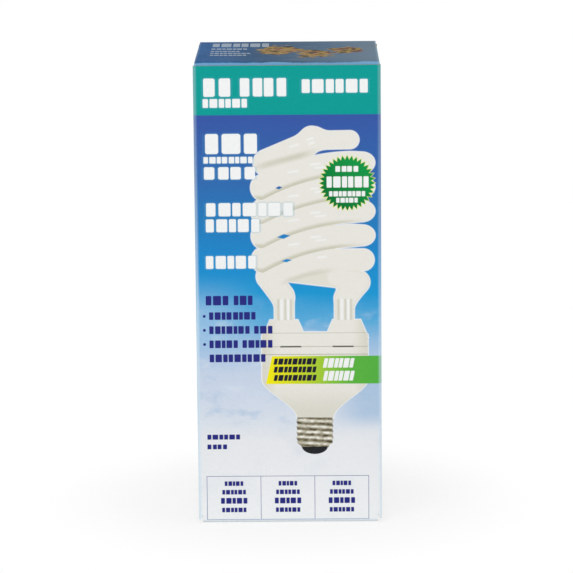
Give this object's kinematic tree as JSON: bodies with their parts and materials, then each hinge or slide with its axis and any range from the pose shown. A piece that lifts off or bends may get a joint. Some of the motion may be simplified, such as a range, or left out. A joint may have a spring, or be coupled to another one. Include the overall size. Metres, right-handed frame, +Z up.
{
  "type": "lamp carton",
  "caption": "Tall square tuck-top carton of thin printed card, its lid hinged at the back, holding one spiral compact fluorescent lamp that stands on its screw base.",
  "frame": {"origin": "middle of the carton's underside, on the surface that it stands on", "axes": "+Z up along the carton's length, front panel towards -Y, lid hinge along X at the back"},
  "size_m": [0.1, 0.1, 0.2524],
  "materials": {
    "printed_card": "coated print, semi-gloss outside and bare grey card inside",
    "phosphor_glass": "white-coated glass tube, gloss",
    "white_plastic": "moulded, fine satin",
    "cap_metal": "thin formed shell, bright",
    "contact_metal": "tinned",
    "black_insulator": "moulded, gloss",
    "board_laminate": "paper laminate with a satin face",
    "ferrite": "sintered, dull",
    "enamelled_copper": "varnished winding",
    "black_sleeve": "shrunk sleeve",
    "film_resin": "dipped resin",
    "package_black": "moulded body",
    "fuse_ceramic": "lacquered",
    "tinned_wire": "tinned wire"
  },
  "bodies": {
    "box": {"carton": "printed_card", "lamp_tube": "phosphor_glass", "ballast_case": "white_plastic", "ballast_cover": "white_plastic", "screw_cap": "cap_metal", "insulator": "black_insulator", "centre_contact": "contact_metal", "circuit_board": "board_laminate", "choke_core": "ferrite", "choke_coil": "enamelled_copper", "bulk_capacitor": "black_sleeve", "film_capacitors": "film_resin", "transistors": "package_black", "toroid": "ferrite", "fuse": "fuse_ceramic", "filament_leads": "tinned_wire", "live_lead": "tinned_wire", "neutral_lead": "tinned_wire"},
    "top": {"lid": "printed_card"}
  },
  "joints": [
    {"name": "lid_hinge", "type": "hinge", "parent": "box", "child": "top", "pos_m": [0, 0.04941, 0.25181], "axis": [-1, 0, 0], "range_deg": [0, 180]}
  ]
}
